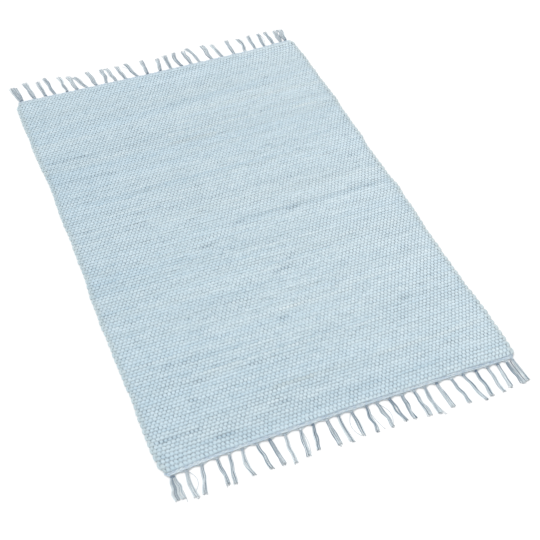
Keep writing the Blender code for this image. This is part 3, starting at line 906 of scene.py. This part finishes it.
def warp_paths():
    """The warp threads' paths, in an array of (warps, steps, 3).

    At each pick a thread lies above the mid plane or below it, in turn, opposite to the weft. Past
    the headings it is drawn sideways into the nearest knot.
    """
    number = np.arange(WARPS)
    picks = np.arange(-YARN_PICKS, PICKS + YARN_PICKS)
    shape = (YARN_PICKS, WARPS)
    own_sway = sway[:, ::2]
    at_near, at_far = (np.broadcast_to(row, shape) for row in (own_sway[:1], own_sway[-1:]))
    x = np.concatenate([at_near, own_sway, at_far]) + number * WARP_PITCH - OUTER_WARP
    y = [np.broadcast_to(heading_y[-1], shape), rag_y[:, ::2], np.broadcast_to(heading_y[1], shape)]
    x, y = cloth_points(x, np.concatenate(y))
    in_field = ((picks >= 0) & (picks < PICKS))[:, None]
    rise = np.where(in_field, WARP_RISE, WARP_RISE_IN_HEADING)
    below = (picks[:, None] + number) % 2 == 0
    z = np.where(in_field, RAG.mid, YARN.mid) + np.where(below, -rise, rise)
    woven = np.stack([x, y, z], axis=-1)
    drawn = {}
    for end, tassels in ((-1, NEAR_TASSELS), (1, FAR_TASSELS)):
        edge = woven[0 if end < 0 else -1, :, 0]
        roots = from_left(tassels, "root")
        root = roots[np.abs(edge - roots).argmin(0), 0]
        knot = np.stack([root, end_line(root, end) + end * KNOT_MIDDLE, 0 * root + KNOT_MID], axis=-1)
        bend_x = edge + WARP_BEND * (root - edge)
        bend = np.stack([bend_x, end_line(edge, end), 0 * root + YARN.mid], axis=-1)
        drawn[end] = np.stack([bend, knot])
    return np.concatenate([drawn[-1][::-1], woven, drawn[1]]).transpose(1, 0, 2)


warp_finish = thread_cotton("warp_cotton", tone(188, 210, 224), tone(234, 246, 251), twist=4 * MM)
paths = warp_paths()
warp_light = WARP_LIGHT + WARP_LIGHT_VARIES * drift(60, paths.shape[:2], (0.4, 6))
warp_slot = np.zeros(paths.shape[:2])
before_field = 2 + YARN_PICKS  # the knot, the bend and the heading's picks
warp_light[:, :before_field] = warp_light[:, -before_field:] = WARP_LIGHT_OUTSIDE
# Painted shade on the warp in the field, following the rag's slot shade
warp_slot[:, before_field : before_field + PICKS] = WARP_PAINTED_SHADE_SHARE * painted_slot_shade[:, ::2].T
warp_rings = carried(paths, (1, 0, 0), WARP_HALF, WARP_HALF, WARP_SIDES)
warp_rings[..., 2] = np.maximum(warp_rings[..., 2], SOLE)
warp = tube_piece("warp_threads", warp_rings, warp_finish, light=warp_light, slot=warp_slot)
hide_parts("woven_field")

tassel_finish = thread_cotton("tassel_cotton", tone(104, 131, 153), tone(238, 248, 252), twist=5 * MM)
KNOT_LIGHT = 0.55
KNOT_LIGHT_VARIES = 0.1
# Painted shade on the knots and at each tassel thread's root
THICK_KNOT_PAINTED_SHADE = 0.7
KNOT_PAINTED_SHADE_ROOT = 0.9  # square root of the most painted shade that another knot has
THREAD_ROOT_PAINTED_SHADE = 0.3  # painted shade at a thread's root


def knots(name, tassels, end, seed):
    """Each knot as a thick bunch wound round the tassel's root: a spiral about the length's direction."""
    random = np.random.default_rng(seed)
    root = from_left(tassels, "root")
    half = np.array([[THICK_KNOT_HALF if row.threads >= THICK_FROM else KNOT_HALF] for row in tassels])
    share = np.linspace(0, 1, KNOT_STEPS)[None]
    angle = random.uniform(0, 2 * math.pi, root.shape) + 2 * math.pi * KNOT_TURNS * share
    x = root + half * np.cos(angle)
    y = end_line(root, end) + end * (KNOT_MIDDLE + KNOT_LENGTH * (share - 0.5)) + 0 * x
    z = KNOT_MID + KNOT_RISE * np.sin(angle)
    rings = carried(np.stack([x, y, z], axis=-1), (0, 1, 0), KNOT_TUBE, KNOT_TUBE, KNOT_SIDES)
    light = random.normal(KNOT_LIGHT, KNOT_LIGHT_VARIES, root.shape) + 0 * x
    # Painted shade on the knots: a random amount each, a fixed one on the thick knots
    slot = random.uniform(0, KNOT_PAINTED_SHADE_ROOT, root.shape) ** 2
    slot = np.where(half > KNOT_HALF, THICK_KNOT_PAINTED_SHADE, slot) + 0 * x
    return tube_piece(name, rings, tassel_finish, light=light, slot=slot)


def each_row(random, rows, low, high):
    """Random numbers, as many as low and high hold, that all the threads of one tassel share."""
    names = list(dict.fromkeys(rows))
    drawn = random.uniform(low, high, (len(names), len(low)))
    return drawn[[names.index(row) for row in rows]].T[..., None]


def settled(t, share, held, rest):
    """Height of a thread that comes down over this share of it: a smooth step from held to rest."""
    down = np.clip(t / share, 0, 1)
    return held + (rest - held) * down**2 * (3 - 2 * down)


def tassel_threads(tassels, end, seed):
    """Threads of all tassels: paths in an array of (threads, steps, 3), and each one's tone.

    A thread leaves the knot in its lane and drops to the floor. It runs to the tip on a straight
    line, bowed by half a sine wave and kinked by its tassel's own sine wave, while the lanes open
    from the knot's width to the tip's, but for a waist. Every second thread lies on the two beside
    it, and each has a slow wave of its own. Some tassels part in two over a bell-shaped stretch.
    """
    random = np.random.default_rng(seed)
    own = TASSEL_LOOKS[end]
    rows = [row for row in tassels for _ in range(row.threads)]
    one_each = (len(rows), 1)
    number = np.concatenate([np.arange(row.threads) for row in tassels])[:, None]
    counts = np.array([[row.threads] for row in rows])
    thick = counts >= THICK_FROM
    t = np.linspace(0, 1, THREAD_STEPS)[None]
    lane = 2 * number / (counts - 1) - 1 + random.normal(0, LANE_UNEVEN, one_each)
    waist, depth, turned, kink, kinks, parting, gap = each_row(random, rows, *zip(*TASSEL_LIMITS.values()))
    knot = np.where(thick, THICK_KNOT_HALF, KNOT_HALF)
    half_open = np.where(thick, 1, own.opens) * column(rows, "spread")[:, None] / 2 - THREAD_HALF
    half = knot + (half_open - knot) * (1 - (1 - t) ** 3)
    half = half * (1 - np.where(thick, 0, depth) * bell(t - waist, WAIST_SHARE))
    gap = np.where(thick, 0, own.parts) * np.clip(gap, 0, 1) * bell(t - parting, PARTING_SHARE)

    cut = random.uniform(-THREAD_UNEVEN, THREAD_UNEVEN, one_each)
    wave = np.sin(2 * math.pi * (t * random.uniform(0.8, 1.8, one_each) + random.uniform(0, 1, one_each)))
    wander = random.normal(0, THREAD_WANDER, one_each) * t**4 + THREAD_WAVE * wave * np.minimum(4 * t, 1)
    bow = column(rows, "bow")[:, None] * np.sin(math.pi * t)
    bow = bow + kink * MM * np.sin(2 * math.pi * (kinks * t + turned)) * np.minimum(3 * t, 1)
    root, tip = from_left(rows, "root"), from_left(rows, "tip")
    x = root + (tip - root) * t + bow + lane * half + np.sign(lane - PARTING_LANE) * gap + wander
    from_y = end_line(root, end) + end * KNOT_MIDDLE
    to_y = end * (CLOTH_LENGTH / 2 + column(rows, "reach")[:, None] - THREAD_UNEVEN + cut)
    y = from_y + (to_y - from_y) * t
    level = number % 2
    rest = THREAD_HALF + level * (1 + 0.25 * wave) * LEVELS_APART
    z = settled(t, DROP_SHARE, KNOT_MID + (level - 0.5) * LEVELS_APART_IN_KNOT, rest)

    light = random.normal(own.light, own.varies, one_each) + PALER_TO_TIP * (t - 0.5)
    light = light + own.swings * np.sin(SWING_STEP * number + 2 * math.pi * turned)
    return np.stack([x, y, z], axis=-1), light + PALER_END * np.clip(6 * t - 5, 0, 1)


def stray_threads(end):
    """Strayed threads: parabolas from the knot through the bulge to the tip."""
    rows = [row for row in STRAYS if row.end == end]
    t = np.linspace(0, 1, THREAD_STEPS)[None]
    root, bulge, tip = (from_left(rows, name) for name in ("root", "bulge", "tip"))
    out, far_out = (column(rows, name)[:, None] for name in ("bulge_out", "tip_out"))
    start = end * end_line(root, end) - CLOTH_LENGTH / 2 + KNOT_MIDDLE
    middle = (out - start) / (far_out - start)
    pulled = (bulge - root - (tip - root) * middle) / (middle * (1 - middle))
    x = root + (tip - root) * t + pulled * t * (1 - t)
    y = end * (CLOTH_LENGTH / 2 + start + (far_out - start) * t)
    z = settled(t, STRAY_DROP_SHARE, KNOT_MID, STRAY_REST) + 0 * x
    dark = np.array([[row.dark] for row in rows])
    return np.stack([x, y, z], axis=-1), STRAY_LIGHT + STRAY_PALER_TO_TIP * t + 0 * x, dark + 0 * x


def frayed_ends(paths, light, seed):
    """Fibres that a thread's cut end opens into: each carries on from the end and bends away."""
    random = np.random.default_rng(seed)
    count = len(paths) * FIBRES
    tips = np.repeat(paths[:, -1], FIBRES, axis=0)[:, None]
    ahead = np.repeat(paths[:, -1] - paths[:, -2], FIBRES, axis=0)[:, None]
    ahead /= np.linalg.norm(ahead, axis=2, keepdims=True)
    t = np.linspace(0, 1, FIBRE_STEPS)[None, :, None]
    length = random.uniform(*FIBRE_LENGTHS, (count, 1, 1))
    away = random.normal(0, 1, (count, 1, 3)) * FIBRE_BEND
    start = random.normal(0, FIBRE_SPREAD, (count, 1, 3))
    fibres = tips + start + ahead * (length * t - FIBRE_ROOT) + away * t**2
    fibres[..., 2] = np.maximum(fibres[..., 2], FIBRE_HALF)
    return fibres, np.repeat(light[:, -1:], FIBRES, axis=0) + FIBRE_PALER + 0 * t[..., 0]


def fringe(name, tassels, end, seed):
    """One end's knots, tassel threads with the strayed ones, and frayed tips, as three pieces."""
    paths, light = tassel_threads(tassels, end, seed)
    stray_paths, stray_light, stray_dark = stray_threads(end)
    t = np.linspace(0, 1, THREAD_STEPS)[None]
    # Painted shade at each tassel thread's root, and the strayed threads' own darkness
    slot = np.concatenate([THREAD_ROOT_PAINTED_SHADE * (1 - t) ** 4 + 0 * light, stray_dark])
    half = np.repeat([THREAD_HALF, STRAY_HALF], [len(paths), len(stray_paths)])[:, None]
    paths, light = np.concatenate([paths, stray_paths]), np.concatenate([light, stray_light])
    rings = carried(paths, (1, 0, 0), half, half, THREAD_SIDES)
    rings[..., 2] = np.maximum(rings[..., 2], 0)
    threads = tube_piece(name + "_tassels", rings, tassel_finish, light=light, slot=slot)
    fibres, fibre_light = frayed_ends(paths, light, seed + 1)
    rings = carried(fibres, (1, 0, 0), FIBRE_HALF, FIBRE_HALF, FIBRE_SIDES)
    looks = {"light": fibre_light, "slot": 0 * fibre_light}
    frayed = tube_piece(name + "_frayed_ends", rings, tassel_finish, **looks)
    pieces = [knots(name + "_knots", tassels, end, seed + 2), threads, frayed]
    for piece in pieces:
        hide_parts(name + "_heading_fringe")
    return pieces


near_end = [heading("near_heading", -1, -YARN_PICKS, sway[0], 51), *fringe("near", NEAR_TASSELS, -1, 71)]
far_end = [heading("far_heading", 1, PICKS, sway[-1], 61), *fringe("far", FAR_TASSELS, 1, 81)]
for band, piece in zip(BANDS, bands):
    flat = (CLOTH_WIDTH, (band.last - band.first) * PICK_PITCH)

# Floor, light and camera
FLOOR_HALF = 20.0
floor_mesh = bpy.data.meshes.new("floor")
floor_corners = [(x * FLOOR_HALF, y * FLOOR_HALF, 0) for x, y in ((-1, -1), (1, -1), (1, 1), (-1, 1))]
floor_mesh.from_pydata(floor_corners, [], [(0, 1, 2, 3)])
floor = bpy.data.objects.new("floor", floor_mesh)
bpy.context.scene.collection.objects.link(floor)
floor_finish = Finish("floor_paint", roughness=0.9)
floor_finish.shader.inputs["Base Color"].default_value = (0.98, 0.98, 0.98, 1)
floor_finish.shader.inputs["Sheen Weight"].default_value = 0
floor_mesh.materials.append(floor_finish.material)

world = bpy.data.worlds.new("studio")
bpy.context.scene.world = world
world.use_nodes = True
world.node_tree.nodes["Background"].inputs["Color"].default_value = (1.0, 1.0, 1.0, 1)
world.node_tree.nodes["Background"].inputs["Strength"].default_value = 0.85

KEY_DIRECTION = Vector((0.4, -0.15, -1.0))
lamp = bpy.data.lights.new("soft_key", "SUN")
lamp.energy = 1.0
lamp.angle = math.radians(40)
key = bpy.data.objects.new("soft_key", lamp)
key.rotation_euler = KEY_DIRECTION.to_track_quat("-Z", "Y").to_euler()
bpy.context.scene.collection.objects.link(key)

CAMERA_PLACE = Vector((-0.47628, -1.20104, 1.30844))
CAMERA_AIM = Vector((0.0017, -0.137, 0.0))
CAMERA_ROLL = math.radians(2.334)
CAMERA_LENS = 68.06
view = bpy.data.cameras.new("view")
view.lens = CAMERA_LENS
view.sensor_width = 36.0
camera = bpy.data.objects.new("view", view)
facing = (CAMERA_AIM - CAMERA_PLACE).to_track_quat("-Z", "Y").to_matrix().to_4x4()
camera.matrix_world = Matrix.Translation(CAMERA_PLACE) @ facing @ Matrix.Rotation(CAMERA_ROLL, 4, "Z")
bpy.context.scene.collection.objects.link(camera)
bpy.context.scene.camera = camera
bpy.context.scene.view_settings.view_transform = "Standard"
